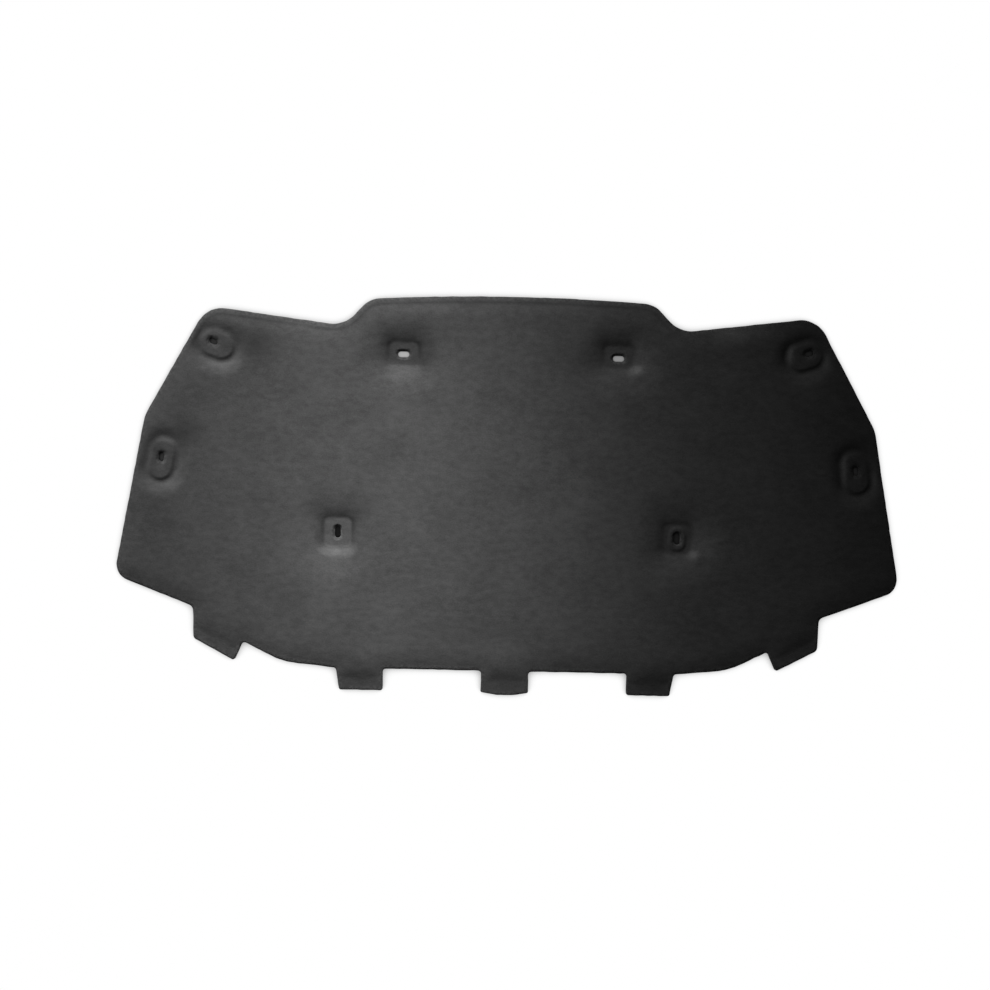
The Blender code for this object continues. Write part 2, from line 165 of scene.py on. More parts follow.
def slotPlace(place):
    # Where a hollow's slot lies: it may stand off the middle and be turned another way
    return {"centre": place["slot"], "turn": place["slotTurn"]}


def roundedRings(place, length, width, radius, offsets, step):
    # Points on rounded rectangles round a place, one ring for each offset: the core is a smaller
    # rectangle walked once round, and every ring stands off it by the radius and its offset
    fewestOnSide, fewestOnCorner = 2, 6
    cornerShare = 0.8        # a corner has a point for each step of that share of its widest radius
    leastReach = 0.05        # a ring that would fall together stays this far off the core
    coreX, coreY = length / 2 - radius, width / 2 - radius
    along, up = max(fewestOnSide, round(2 * coreX / step)), max(fewestOnSide, round(2 * coreY / step))
    bend = max(fewestOnCorner, round((radius + max(offsets)) * cornerShare / step))
    turns = [np.linspace(90 * k, 90 * k + 90, bend) for k in range(4)]
    corners = [(coreX, coreY), (-coreX, coreY), (-coreX, -coreY), (coreX, -coreY)]
    walked, faced = [], []
    for k, (cx, cy) in enumerate(corners):
        nx, ny = corners[(k + 1) % 4]
        share = np.linspace(0, 1, along if k % 2 == 0 else up, endpoint=False)[1:]
        side = np.column_stack((cx + (nx - cx) * share, cy + (ny - cy) * share))
        walked += [np.tile((cx, cy), (bend, 1)), side]
        faced += [turns[k], np.full(len(share), 90.0 * k + 90)]
    core, angle = np.vstack(walked), np.radians(np.concatenate(faced))
    reach = np.maximum(radius + np.asarray(offsets, float), leastReach)[:, None]
    u, v = core[:, 0] + reach * np.cos(angle), core[:, 1] + reach * np.sin(angle)
    cosine, sine = math.cos(math.radians(place["turn"])), math.sin(math.radians(place["turn"]))
    x = place["centre"][0] + u * cosine - v * sine
    y = place["centre"][1] + u * sine + v * cosine
    return np.column_stack((x.ravel(), y.ravel()))


def lattice(halfX, halfY, step):
    # A square net of points from less the half to the half, both ways
    x, y = np.meshgrid(np.arange(-halfX, halfX, step), np.arange(-halfY, halfY, step))
    return np.column_stack((x.ravel(), y.ravel()))


def softStep(share):
    # From 0 to 1 in an S curve that starts and ends level
    share = np.clip(share, 0.0, 1.0)
    return share * share * (3.0 - 2.0 * share)


def softNoise(x, y, sizeX, sizeY, seed):
    # Smooth chance bumps from -1 to 1: values on a net of that size, joined by S curves between its
    # points. The net repeats after so many points and is shifted, so that no seam comes near the pad.
    repeat, shiftX, shiftY = 256, 91.3, 57.7
    values = np.random.default_rng(seed).uniform(-1, 1, (repeat + 1, repeat + 1))
    u, v = x / sizeX + shiftX, y / sizeY + shiftY
    i, j = np.floor(u).astype(int), np.floor(v).astype(int)
    a, b = softStep(u - i), softStep(v - j)
    i, j = i % repeat, j % repeat
    low = values[i, j] * (1 - a) + values[i + 1, j] * a
    high = values[i, j + 1] * (1 - a) + values[i + 1, j + 1] * a
    return low * (1 - b) + high * b


# The pressed felt. Places are in the part's own frame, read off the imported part.

felt = {
    "rim": 10.2,             # thickness near the cut edge
    "loft": 14.0,            # full thickness
    "rimWidth": 1.0,
    "shoulder": 33.0,        # how far in the loft takes to rise
    "tabReach": 16.0,        # how far past a tab's root the rise starts
    "tabBlend": 12.0,        # how softly the rise passes from the edge to the root
    "edgeRound": 0.7,        # how far the cut edge rolls down
    "edgeRoundWidth": 1.2,
    "swell": 0.54,           # height of the slow waves of the loft
    "swellLong": (130.0, 95.0),
    "swellShort": (55.0, 42.0),
    "swellFrom": 12.0,       # how far in the waves start, and how far they take to grow
    "swellRun": 60.0,
    "lumps": 0.16,           # height of the clumps of fibre under the skin
    "lumpLarge": (21.0, 13.0),
    "lumpSmall": (9.5, 7.0),
    "lumpFrom": 12.0,        # how far in they have their full height
    "edgeWander": 0.35,      # how far the cut strays from its line
    "edgeWanderSize": 9.0,
    "edgeWanderReach": 4.0,  # how far in the felt strays with it
    "rimLine": 0.36,         # how dark the painted shade line is inside the upper edge, where the rise from the rim lies in shade
    "rimLineIn": 9.0,        # how far in it runs
    "rimLineWidth": 2.1,
    "rimLineAbove": 180.0,   # it shows above this height of the plan, and grows over the next run
    "rimLineRun": 60.0,
    "rimLineEnd": 330.0,     # it ends here on the right, and fades over a run before it
    "rimLineFade": 180.0,
    "tornFrom": 3.0,         # the torn look of the cut edge fades from here inward
    "tornRun": 5.0,
    "tornBack": 0.3,         # share of it all over the back
    "sharpTurn": 50.0,       # degrees, what is sharper than this shows as an edge
}

pockets = {
    # Of each pair the first holds on the side of the raised edge and the second on the side of the tabs.
    # Tones are painted shade, for the shade in and round the hollow: how much darker the felt's colour is
    # painted than beside the pocket, a painted highlight under nought: on the floor, left of it and right of
    # it, with how far the last two fade out
    "places": [
        {"centre": (166.0, 217.7), "turn": 0.0, "length": 45.0, "width": 35.0,
         "slot": (166.0, 215.4), "slotTurn": 0.0, "floor": 4.3, "tilt": 0.03, "flare": (43.0, 56.0),
         "wallShare": (0.0, 0.05), "ring": 0.0, "lift": 1.8, "tones": (0.16, 0.10, 22.0, 0.0, 30.0)},
        {"centre": (-166.0, 217.7), "turn": 0.0, "length": 45.0, "width": 35.0,
         "slot": (-166.0, 215.4), "slotTurn": 0.0, "floor": 4.3, "tilt": 0.03, "flare": (43.0, 62.0),
         "wallShare": (0.0, 0.0), "ring": 0.0, "lift": 0.0, "tones": (0.33, 0.36, 26.0, 0.50, 44.0)},
        {"centre": (262.0, -61.1), "turn": 0.0, "length": 42.0, "width": 46.0,
         "slot": (262.0, -61.1), "slotTurn": 90.0, "floor": 4.8, "tilt": 0.05, "flare": (62.0, 56.0),
         "wallShare": (0.0, 0.1), "ring": 1.4, "lift": 1.8, "tones": (0.20, 0.15, 30.0, 0.0, 30.0)},
        {"centre": (-262.0, -61.1), "turn": 0.0, "length": 42.0, "width": 46.0,
         "slot": (-262.0, -61.1), "slotTurn": 90.0, "floor": 4.8, "tilt": 0.08, "flare": (50.0, 58.0),
         "wallShare": (0.05, 0.6), "ring": 0.0, "lift": 0.0, "tones": (-0.24, 0.14, 14.0, 0.30, 36.0)},
    ],
    "corner": 9.0,
    "wallRun": 19.5,         # the lower part of the slope is a soft wall, and the rest eases off to the face
    "wallFoot": 0.17,        # share of the wall's run that lies inside the floor's line
    "fold": 0.26,            # how dark the painted shade line is where the slope folds up from the floor
    "foldOut": 2.0,          # how far outside the floor's line it runs
    "foldWidth": 3.6,
    "toneRun": 5.0,          # over which the floor's tone changes to the tone around
    "footRound": 2.5,
    "ringLength": 40.0,      # one pocket has an oval ring of felt left standing round its slot
    "ringWidth": 29.0,
    "ringFrom": 4.0,         # how far inside its outline it starts to fall, and over what run
    "ringRun": 5.0,
    "liftAside": 9.0,        # where a pocket's lower right corner is lifted, out from that corner
    "liftBelow": 8.0,
    "liftSize": 9.0,
    "slotLength": 17.5,
    "slotWidth": 9.0,
    "collarRun": 4.8,
    "collarDepth": 1.8,
}

seats = {
    "places": [
        {"centre": (sideways * 454.2, 224.2), "turn": sideways * 20.0, "length": 50.0, "width": 36.0,
         "slot": (sideways * 459.8, 228.7), "slotTurn": sideways * 20.0} for sideways in (1, -1)
    ] + [
        {"centre": (sideways * 535.5, 45.6), "turn": sideways * 100.0, "length": 59.0, "width": 34.0,
         "slot": (sideways * 536.0, 48.6), "slotTurn": sideways * 100.0} for sideways in (1, -1)
    ],
    "floor": 6.9,
    "tilt": 0.10,
    "tiltReach": 24.0,       # the tilt levels off this far above and below the middle
    "bossHeight": 1.9,
    "bossLean": 0.25,        # share by which the boss is lower above and higher below
    "bossFrom": 2.52,        # how far inside its outline the boss starts to fall, and over what run
    "bossRun": 7.98,
    "brim": 8.2,             # from the boss's outline to the foot of the flare
    "flare": 22.0,
    "footRound": 2.0,
    "slotLength": 13.0,
    "slotWidth": 7.5,
    "dishRun": 7.0,
    "dishDepth": 2.2,
}

shadeAndToneSpots = [
    # Soft spots of painted shade where the tone is above nought and painted highlights where it is under
    # nought, partly also the felt's uneven tone
    {"at": (-400.0, 226.0), "size": (36.0, 30.0), "tone": 0.42},
    {"at": (-494.0, 92.0), "size": (24.0, 20.0), "tone": 0.36},
    {"at": (-505.0, 50.0), "size": (12.0, 34.0), "tone": 0.14},
    {"at": (-124.0, 254.0), "size": (40.0, 22.0), "tone": 0.16},
    {"at": (350.0, 262.0), "size": (42.0, 20.0), "tone": -0.75},
    {"at": (431.0, 226.0), "size": (5.0, 14.0), "tone": -1.10},
    {"at": (485.0, 220.0), "size": (7.0, 12.0), "tone": -0.80},
    {"at": (517.0, 51.0), "size": (5.0, 20.0), "tone": -1.10},
    {"at": (564.0, 38.0), "size": (4.0, 14.0), "tone": -0.80},
    {"at": (96.0, 220.0), "size": (36.0, 34.0), "tone": 0.24},
    {"at": (208.0, 204.0), "size": (24.0, 22.0), "tone": -0.22},
    {"at": (-312.0, 258.0), "size": (48.0, 8.0), "tone": -0.20},
    {"at": (-110.0, 287.0), "size": (56.0, 9.0), "tone": -0.15},
    {"at": (-210.0, 252.0), "size": (28.0, 22.0), "tone": 0.14},
    {"at": (-222.0, -22.0), "size": (24.0, 22.0), "tone": 0.15},
    {"at": (-508.0, 122.0), "size": (34.0, 54.0), "tone": 0.12},
    {"at": (-166.0, 186.0), "size": (24.0, 14.0), "tone": -0.38},
    {"at": (-92.0, 108.0), "size": (60.0, 36.0), "tone": -0.13},
    {"at": (-80.0, -209.0), "size": (130.0, 14.0), "tone": 0.11},
    {"at": (-224.0, -288.0), "size": (56.0, 27.0), "tone": 0.42},
    {"at": (0.0, -288.0), "size": (56.0, 27.0), "tone": 0.36},
    {"at": (224.0, -288.0), "size": (56.0, 27.0), "tone": 0.42},
    {"at": (306.0, -74.0), "size": (26.0, 14.0), "tone": -0.30},
    {"at": (-286.0, -112.0), "size": (52.0, 34.0), "tone": -0.26},
    {"at": (-262.0, -92.0), "size": (15.0, 6.0), "tone": -0.30},
    {"at": (194.0, 198.0), "size": (10.0, 6.5), "tone": -0.95},
    {"at": (287.0, -85.0), "size": (8.0, 6.5), "tone": -0.75},
    {"at": (-456.0, 226.0), "size": (10.0, 7.0), "tone": 0.32},
    {"at": (-482.0, 228.0), "size": (5.0, 11.0), "tone": 0.34},
    {"at": (-450.0, 194.0), "size": (22.0, 6.0), "tone": -0.28},
    {"at": (-523.0, 75.5), "size": (12.0, 7.0), "tone": -0.40},
    {"at": (-549.0, 66.0), "size": (9.0, 10.0), "tone": 0.22},
]

creases = [
    # from, to, depth (less than nothing for a ridge), width
    {"from": (-552.0, -28.0), "to": (-549.5, -137.0), "depth": 0.45, "width": 5.0},
    {"from": (120.1, 300.9), "to": (125.6, 259.3), "depth": 0.6, "width": 5.0},
    {"from": (125.6, 259.3), "to": (220.8, 289.0), "depth": 0.35, "width": 9.0},
    {"from": (300.0, -72.0), "to": (345.0, -58.0), "depth": -0.5, "width": 4.0},
    {"from": (302.0, -86.0), "to": (340.0, -98.0), "depth": -0.35, "width": 4.0},
]

segments = outlineSegments(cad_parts["insulation_pad"])
middle = (segments[:, :2] + segments[:, 2:]) / 2
slotCentres = np.array([place["slot"] for place in pockets["places"] + seats["places"]])
toSlot = np.hypot(*(middle[:, None, :] - slotCentres).transpose(2, 0, 1)).min(axis=1)
slotReach = 14.0             # edges nearer than this to a slot's centre are the slot's own
outer, slots = segments[toSlot > slotReach], segments[toSlot <= slotReach]
print("outline read:", len(outer), "edges outside,", len(slots), "round the slots")

# The blanket without its tabs: what lies below the straight edge or beyond a wing tab's root comes off,
# and the rest, sorted by its angle about the middle, is joined up again
tabRoots = {
    "wing": ((482.5, -180.1), (404.5, -232.2)),   # both ends of the right wing tab's root
    "wingSpread": 0.12,      # share of the root by which the tab's foot may spread past its ends
    "wingOut": 40.0,         # square mm. A corner is on the tab where the parallelogram that it spans
                             # with the root is larger than this
    "base": -270.4,          # the three middle tabs hang below this line
}
rootStart, rootEnd = np.array(tabRoots["wing"])
rootRun = rootEnd - rootStart
corner = np.unique(outer.reshape(-1, 2), axis=0)
fromRoot = np.column_stack((np.abs(corner[:, 0]), corner[:, 1])) - rootStart
beyond = fromRoot[:, 0] * rootRun[1] - fromRoot[:, 1] * rootRun[0]
beside = fromRoot @ rootRun / (rootRun @ rootRun)
onWing = (beyond < -tabRoots["wingOut"]) & (np.abs(beside - 0.5) < 0.5 + tabRoots["wingSpread"])
bare = corner[(corner[:, 1] > tabRoots["base"]) & ~onWing]
bare = bare[np.argsort(np.arctan2(bare[:, 1], bare[:, 0]))]
blanket = np.hstack((bare, np.roll(bare, -1, axis=0)))
print("blanket without tabs:", len(blanket), "edges, tab corners left out:", len(corner) - len(bare))


def smoothLesser(a, b, reach):
    # The lesser of two values, rounded off where they come within reach of each other
    near = np.maximum(reach - np.abs(a - b), 0) / reach
    return np.minimum(a, b) - near * near * reach / 4


def hollowRise(away, flare, footRound):
    # Share of the way up from a hollow's floor, on a slope that eases off to the face. The foot is
    # rounded by bending the distance where it passes nought.
    ease = np.clip((away + np.hypot(away, footRound)) / 2 / flare, 0.0, 1.0)
    return ease * (2.0 - ease)


def upDown(pair, place, y):
    # From the pair's second value on the tabs' side of a place to its first on the raised edge's side
    return pair[1] + (pair[0] - pair[1]) * softStep((y - place["centre"][1]) / place["width"] + 0.5)


def shadeAndHighlightTone(x, y, edgeDistance):
    # Painted shade and painted highlights in the felt's colour: how much darker it is painted, lighter under
    # nought. Soft round spots, partly also the felt's uneven tone; painted shade on a pocket's floor and left
    # and right of it but not above or below; a painted shade line where its slope folds up from the floor;
    # and a fine painted shade line inside the upper edge. Each is added, and fades as a bell or an S curve.
    offLine = (edgeDistance - felt["rimLineIn"]) / felt["rimLineWidth"]
    tone = felt["rimLine"] * np.exp(-(offLine ** 2))
    tone *= softStep((y - felt["rimLineAbove"]) / felt["rimLineRun"])
    tone *= softStep((felt["rimLineEnd"] - x) / felt["rimLineFade"])
    for shadeSpot in shadeAndToneSpots:
        offX = (x - shadeSpot["at"][0]) / shadeSpot["size"][0]
        offY = (y - shadeSpot["at"][1]) / shadeSpot["size"][1]
        tone += shadeSpot["tone"] * np.exp(-offX * offX - offY * offY)
    # Painted shade on and beside each pocket, and a painted shade line where its slope folds up
    for place in pockets["places"]:
        onFloor, atLeft, leftReach, atRight, rightReach = place["tones"]
        across, along = x - place["centre"][0], y - place["centre"][1]
        outX = np.maximum(np.abs(across) - place["length"] / 2, 0)
        outY = np.maximum(np.abs(along) - place["width"] / 2, 0)
        away = roundedDistance(x, y, place, place["length"], place["width"], pockets["corner"])
        share = np.where(across < 0, atLeft, atRight) * (outX + 1.0) / (outX + outY + 1.0)
        around = share * (1.0 - softStep(away / np.where(across < 0, leftReach, rightReach)))
        tone += onFloor + (around - onFloor) * softStep(away / pockets["toneRun"] + 0.5)
        fold = pockets["fold"] * upDown((1.0, 0.0), place, y)
        tone += fold * np.exp(-(((away - pockets["foldOut"]) / pockets["foldWidth"]) ** 2))
    return tone


def feltTop(x, y, edgeDistance):
    # Height of the face. The rise from the rim follows the distance to the cut edge, and on a tab the
    # distance to the blanket's own edge, so that the loft runs out over the tab's root and no further.
    toBlanket = segmentDistance(x, y, blanket) * np.where(isInside(x, y, blanket), 1.0, -1.0)
    depth = smoothLesser(edgeDistance, toBlanket + felt["tabReach"], felt["tabBlend"])
    rise = 1.0 - (1.0 - np.clip((depth - felt["rimWidth"]) / felt["shoulder"], 0.0, 1.0)) ** 2
    top = felt["rim"] + (felt["loft"] - felt["rim"]) * rise

    # The loft swells in slow waves, and clumps of fibre lift the skin a little
    swell = softNoise(x, y, *felt["swellLong"], 3) + 0.5 * softNoise(x, y, *felt["swellShort"], 4)
    top += felt["swell"] * softStep((depth - felt["swellFrom"]) / felt["swellRun"]) * swell
    lumps = softNoise(x, y, *felt["lumpLarge"], 5) + 0.6 * softNoise(x, y, *felt["lumpSmall"], 6)
    top += felt["lumps"] * softStep(depth / felt["lumpFrom"]) * lumps

    # A crease is a groove with a round bottom that fades at both ends
    for crease in creases:
        start, stop = np.array(crease["from"]), np.array(crease["to"])
        run = stop - start
        share = ((x - start[0]) * run[0] + (y - start[1]) * run[1]) / (run @ run)
        share = np.clip(share, 0.0, 1.0)
        away = np.hypot(x - start[0] - share * run[0], y - start[1] - share * run[1])
        fade = 0.35 + 0.65 * np.sin(share * np.pi)
        top -= crease["depth"] * fade * np.exp(-((away / crease["width"]) ** 2)) * rise

    # A pocket: a floor that may tilt a little, then a soft flare up to the face
    for place in pockets["places"]:
        away = roundedDistance(x, y, place, place["length"], place["width"], pockets["corner"])
        wallShare = upDown(place["wallShare"], place, y)
        pressed = (1.0 - wallShare) * hollowRise(away, upDown(place["flare"], place, y), pockets["footRound"])
        pressed += wallShare * softStep(away / pockets["wallRun"] + pockets["wallFoot"])
        reach = place["width"] / 2
        floor = place["floor"] + place["tilt"] * reach * np.tanh((y - place["centre"][1]) / reach)
        top = floor + (top - floor) * pressed
        liftX = place["centre"][0] + place["length"] / 2 + pockets["liftAside"]
        liftY = place["centre"][1] - reach - pockets["liftBelow"]
        top += place["lift"] * np.exp(-((np.hypot(x - liftX, y - liftY) / pockets["liftSize"]) ** 2))
        toRing = ovalDistance(x, y, slotPlace(place), pockets["ringLength"], pockets["ringWidth"])
        top += place["ring"] * (1.0 - softStep((toRing + pockets["ringFrom"]) / pockets["ringRun"]))
        toLip = ovalDistance(x, y, slotPlace(place), pockets["slotLength"], pockets["slotWidth"])
        top -= pockets["collarDepth"] * (1.0 - softStep(toLip / pockets["collarRun"]))

    # A seat: an oval hollow with a boss standing in it, dished round its slot
    for place in seats["places"]:
        away = ovalDistance(x, y, place, place["length"], place["width"])
        pressed = hollowRise(away - seats["brim"], seats["flare"], seats["footRound"])
        upward = np.tanh((y - place["centre"][1]) / seats["tiltReach"])
        floor = seats["floor"] + seats["tilt"] * seats["tiltReach"] * upward
        top = floor + (top - floor) * pressed
        boss = seats["bossHeight"] * (1.0 - softStep((away + seats["bossFrom"]) / seats["bossRun"]))
        boss *= 1.0 - seats["bossLean"] * upward
        toLip = ovalDistance(x, y, slotPlace(place), seats["slotLength"], seats["slotWidth"])
        dish = seats["dishDepth"] * (1.0 - softStep(toLip / seats["dishRun"]))
        top = top + np.where(away < seats["brim"], boss - dish, 0.0)
    return top


def edgeRings(offsets):
    # Points at set distances inside the cut edge: each edge point moved square to its edge, kept only
    # where it is still that far from all of the edge
    probeReach = 0.5         # how far a test point goes to find which side is the felt
    slack = 0.97             # share of its distance that a point has to keep from the rest of the edge
    fine = divided(outer, meshPlan["edgeRingStep"])
    run = fine[:, 2:] - fine[:, :2]
    square = np.column_stack((-run[:, 1], run[:, 0])) / np.hypot(*run.T)[:, None]
    centre = (fine[:, :2] + fine[:, 2:]) / 2
    probe = centre + probeReach * square
    square[~isInside(probe[:, 0], probe[:, 1], outer)] *= -1
    moved = np.vstack([centre + offset * square for offset in offsets])
    wanted = np.repeat(offsets, len(centre))
    found = segmentDistance(moved[:, 0], moved[:, 1], outer)
    moved = moved[found > slack * wanted]
    _, first = np.unique(np.round(moved / meshPlan["thinning"]), axis=0, return_index=True)
    return moved[first]


def planPoints():
    # Free points of the plan: rings inside the edge, rings round each hollow, and an open net between
    edge = edgeRings(np.array(meshPlan["edgeRings"]))
    net = lattice(*meshPlan["netHalf"], meshPlan["netStep"])
    net = net[isInside(net[:, 0], net[:, 1], outer)]
    net = net[segmentDistance(net[:, 0], net[:, 1], outer) > meshPlan["edgeStrip"]]
    hollowRings = []
    for place in pockets["places"] + seats["places"]:
        isSeat = place in seats["places"]
        kind, radius = (seats, place["width"] / 2) if isSeat else (pockets, pockets["corner"])
        size = (place["length"], place["width"], radius)
        slotSize = (kind["slotLength"], kind["slotWidth"], kind["slotWidth"] / 2)
        outward = meshPlan["seatRings" if isSeat else "pocketRings"]
        slotOutward = meshPlan["seatSlotRings" if isSeat else "pocketSlotRings"]
        hollowRings.append(roundedRings(place, *size, outward, meshPlan["hollowStep"]))
        hollowRings.append(roundedRings(slotPlace(place), *slotSize, slotOutward, meshPlan["slotStep"]))
        if place.get("ring"):
            oval = (pockets["ringLength"], pockets["ringWidth"], pockets["ringWidth"] / 2)
            ovalOutward, ovalStep = meshPlan["ovalRings"], meshPlan["ovalStep"]
            hollowRings.append(roundedRings(slotPlace(place), *oval, ovalOutward, ovalStep))
        last = outward[-1]
        net = net[roundedDistance(net[:, 0], net[:, 1], place, *size) > last + meshPlan["hollowMargin"]]
        edge = edge[roundedDistance(edge[:, 0], edge[:, 1], place, *size) > last + meshPlan["edgeMargin"]]
    rings = np.vstack(hollowRings)
    rings = rings[isInside(rings[:, 0], rings[:, 1], outer)]
    rings = rings[segmentDistance(rings[:, 0], rings[:, 1], outer) > meshPlan["edgeMargin"]]
    rings = rings[segmentDistance(rings[:, 0], rings[:, 1], slots) > meshPlan["slotMargin"]]
    inSlot = isInside(rings[:, 0], rings[:, 1], slots)
    return np.vstack((edge, rings[~inSlot], net))


def triangulated(points, fixedEdges):
    # Triangles of the plan inside the outline and outside the slots, counterclockwise from above
    together, leastArea = 1e-4, 1e-6
    flat = [Vector(p) for p in points.tolist()]
    placed, _, faces, *_ = delaunay_2d_cdt(flat, fixedEdges.tolist(), [], 0, together)
    placed, faces = np.array([tuple(p) for p in placed]), np.array(faces)
    centre = placed[faces].mean(axis=1)
    wanted = isInside(centre[:, 0], centre[:, 1], segments)
    faces = faces[wanted]
    a, b, c = placed[faces[:, 0]], placed[faces[:, 1]], placed[faces[:, 2]]
    area = (b[:, 0] - a[:, 0]) * (c[:, 1] - a[:, 1]) - (b[:, 1] - a[:, 1]) * (c[:, 0] - a[:, 0])
    faces[area < 0] = faces[area < 0][:, ::-1]
    return placed, faces[np.abs(area) > leastArea]


def openEdges(faces):
    # Edges that only one triangle uses, in the direction in which it runs round them
    edges = np.vstack((faces[:, :2], faces[:, 1:], faces[:, [2, 0]]))
    _, first, uses = np.unique(np.sort(edges, axis=1), axis=0, return_index=True, return_counts=True)
    return edges[first[uses == 1]]


def feltMesh():
    # The face over its own flat back, with a wall between them along the cut edge and in every slot
    cut = divided(segments, meshPlan["edgeStep"])
    ends = np.round(cut.reshape(-1, 2), 3)
    rim, index = np.unique(ends, axis=0, return_inverse=True)
    fixedEdges = index.reshape(-1, 2)
    plan, faces = triangulated(np.vstack((rim, planPoints())), fixedEdges)
    rimEdges = openEdges(faces)
    rimPoints = np.unique(rimEdges)
    print("face of the felt:", len(faces), "triangles")

    x, y = plan.T
    toEdge = segmentDistance(x, y, segments)
    top = feltTop(x, y, segmentDistance(x, y, outer))
    top -= felt["edgeRound"] * np.clip(1.0 - toEdge / felt["edgeRoundWidth"], 0.0, 1.0)

    # The cut edge strays a little, and the strip beside it goes with it
    stray = felt["edgeWander"] * np.exp(-segmentDistance(x, y, outer) / felt["edgeWanderReach"])
    straySize = felt["edgeWanderSize"]
    x = x + stray * softNoise(x, y, straySize, straySize, 11)
    y = y + stray * softNoise(x, y, straySize, straySize, 12)

    # The back is flat and needs few points: the rim's own and a wide net
    netBack = lattice(*meshPlan["backHalf"], meshPlan["backStep"])
    netBack = netBack[isInside(netBack[:, 0], netBack[:, 1], segments)]
    netBack = netBack[segmentDistance(netBack[:, 0], netBack[:, 1], segments) > meshPlan["backMargin"]]
    renumber = np.full(len(plan), -1)
    renumber[rimPoints] = np.arange(len(rimPoints))
    backPlan, backFaces = triangulated(np.vstack((plan[rimPoints], netBack)), renumber[rimEdges])
    backX, backY = backPlan.T
    backX[:len(rimPoints)], backY[:len(rimPoints)] = x[rimPoints], y[rimPoints]

    back = np.column_stack((backX, backY, np.zeros(len(backX))))
    vertices = np.vstack((np.column_stack((x, y, top)), back))
    low = renumber[rimEdges] + len(x)
    walls = np.column_stack((rimEdges[:, 0], low[:, 0], low[:, 1], rimEdges[:, 1]))
    allFaces = faces.tolist() + (backFaces[:, ::-1] + len(x)).tolist() + walls.tolist()

    mesh = bpy.data.meshes.new("pressedFelt")
    mesh.from_pydata((vertices * mm).tolist(), [], allFaces)
    mesh.shade_smooth()
    mesh.set_sharp_from_angle(angle=math.radians(felt["sharpTurn"]))

    # For the material: how near the cut edge each point is, and its painted shade and highlight
    nearEdge = np.full(len(vertices), felt["tornBack"])
    nearEdge[:len(x)] = 1.0 - softStep((toEdge - felt["tornFrom"]) / felt["tornRun"])
    mesh.attributes.new("nearEdge", "FLOAT", "POINT").data.foreach_set("value", nearEdge)
    paintedShadeAndHighlight = np.zeros(len(vertices))
    paintedShadeAndHighlight[:len(x)] = shadeAndHighlightTone(x, y, segmentDistance(x, y, outer))
    mesh.attributes.new("paintedShadeAndHighlight", "FLOAT", "POINT").data.foreach_set("value", paintedShadeAndHighlight)
    return mesh


# Materials

def linearColour(hexCode):
    # An sRGB hex value as linear light
    parts = [int(hexCode[k:k + 2], 16) / 255 for k in (1, 3, 5)]
    return (*(p / 12.92 if p <= 0.04045 else ((p + 0.055) / 1.055) ** 2.4 for p in parts), 1.0)


def addNode(tree, kind, settings, links=None):
    # One node with its settings, which are sockets or its own options, and what feeds its sockets
    node = tree.nodes.new(kind)
    for name, value in settings.items():
        if isinstance(name, int) or name in node.inputs:
            node.inputs[name].default_value = value
        else:
            setattr(node, name, value)
    for name, source in (links or {}).items():
        tree.links.new(source, node.inputs[name])
    return node


feltFinish = {
    "dark": "#3a3a3a",           # between the clumps
    "light": "#4b4b4b",          # loose fibre ends, a little greyer
    "clump": 8.0,                # mm, felted tufts
    "fibre": 1.4,                # mm. A real fibre is 0.03 mm wide, too fine to show, so bundles are drawn
    "patch": 70.0,               # mm, slow change of tone across the sheet
    "torn": 4.0,                 # mm, ragged tufts at the cut edge
    "grainRun": 0.6,             # fibres lie along the web, so patterns are stretched along X
    "grainTurn": 0.06,           # radians, how far the web's run is off the pad's
    "clumpShare": 0.55,          # weights of the patterns in the tone
    "fibreShare": 0.6,
    "patchShare": 0.35,
    "tornGain": 2.0,             # the torn pattern is that much stronger, and lowered to the same mean
    "tornDrop": -0.25,
    "darkUpTo": 0.575,           # where in the tone the dark ends and the light starts
    "lightFrom": 0.925,
    "reliefFibres": 0.4,         # share of the fibres in the relief, beside the clumps
    "bumpDepth": 0.35,           # mm
    "bumpStrength": 0.8,
    "roughness": 0.95,
    "ior": 1.5,                  # polyester
    "specular": 0.15,            # the fibres hide most of each other's gloss
    "sheen": 0.08,
    "sheenRoughness": 0.6,
}


